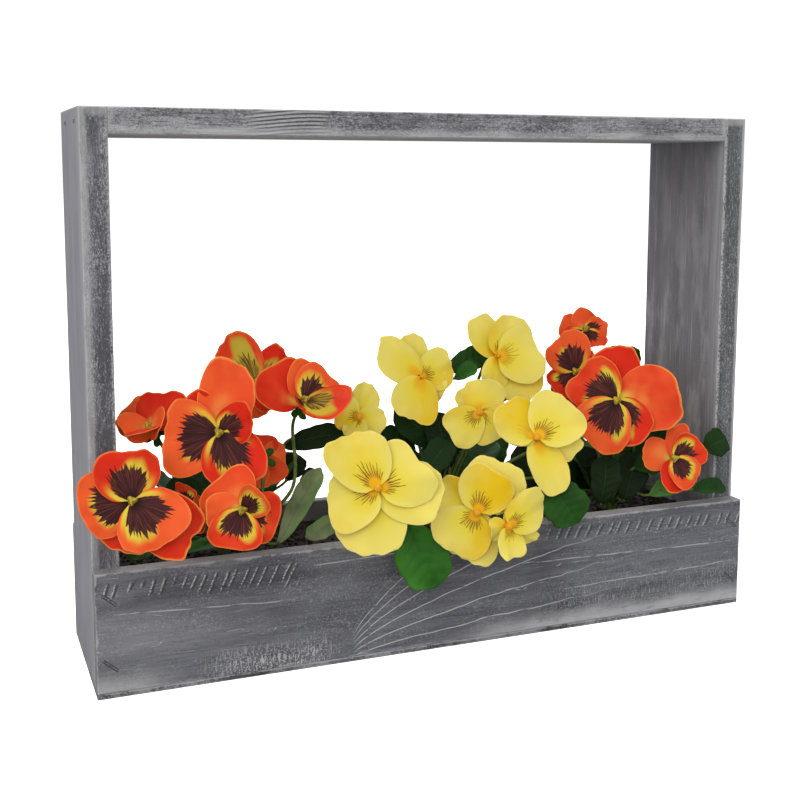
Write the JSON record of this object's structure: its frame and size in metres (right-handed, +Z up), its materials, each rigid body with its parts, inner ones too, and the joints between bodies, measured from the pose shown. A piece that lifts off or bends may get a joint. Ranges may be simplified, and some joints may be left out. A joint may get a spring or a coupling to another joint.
{
  "type": "planted window box",
  "caption": "Open weathered-wood frame with a low planter along its foot, filled with soil and orange and yellow pansy plants.",
  "frame": {"origin": "middle of the base board's underside, on the surface that the box stands on", "axes": "+X along the box to the right, +Y from front to back, +Z up"},
  "size_m": [0.4142, 0.1424, 0.31],
  "materials": {
    "wood": "weathered grey wash with worn pale edges",
    "staple": "dulled wire",
    "soil": "dark crumbled soil",
    "petal_orange": "matte printed cloth petal with a dark blotch",
    "petal_yellow": "matte printed cloth petal with fine veins",
    "foliage": "matte green leaf with a paler underside"
  },
  "bodies": {
    "root": {"post_left": "wood", "post_right": "wood", "top_rail": "wood", "front_board": "wood", "back_board": "wood", "base_board": "wood", "staple_front_left_low": "staple", "staple_back_left_low": "staple", "staple_front_left_high": "staple", "staple_back_left_high": "staple", "staple_rail_left_near": "staple", "staple_rail_left_far": "staple", "staple_front_right_low": "staple", "staple_back_right_low": "staple", "staple_front_right_high": "staple", "staple_back_right_high": "staple", "staple_rail_right_near": "staple", "staple_rail_right_far": "staple", "soil": "soil", "bloom_a": "petal_orange", "bloom_b": "petal_orange", "bloom_c": "petal_orange", "bloom_d": "petal_orange", "bloom_e": "petal_orange", "bloom_f": "petal_orange", "bloom_g": "petal_orange", "bloom_h": "petal_orange", "bloom_i": "petal_yellow", "bloom_j": "petal_yellow", "bloom_k": "petal_yellow", "bloom_l": "petal_yellow", "bloom_m": "petal_yellow", "bloom_n": "petal_yellow", "bloom_o": "petal_yellow", "bloom_p": "petal_yellow", "bloom_q": "petal_orange", "bloom_r": "petal_orange", "bloom_s": "petal_orange", "bloom_t": "petal_orange", "plant_left": "foliage", "plant_middle": "foliage", "plant_right": "foliage"}
  },
  "joints": []
}
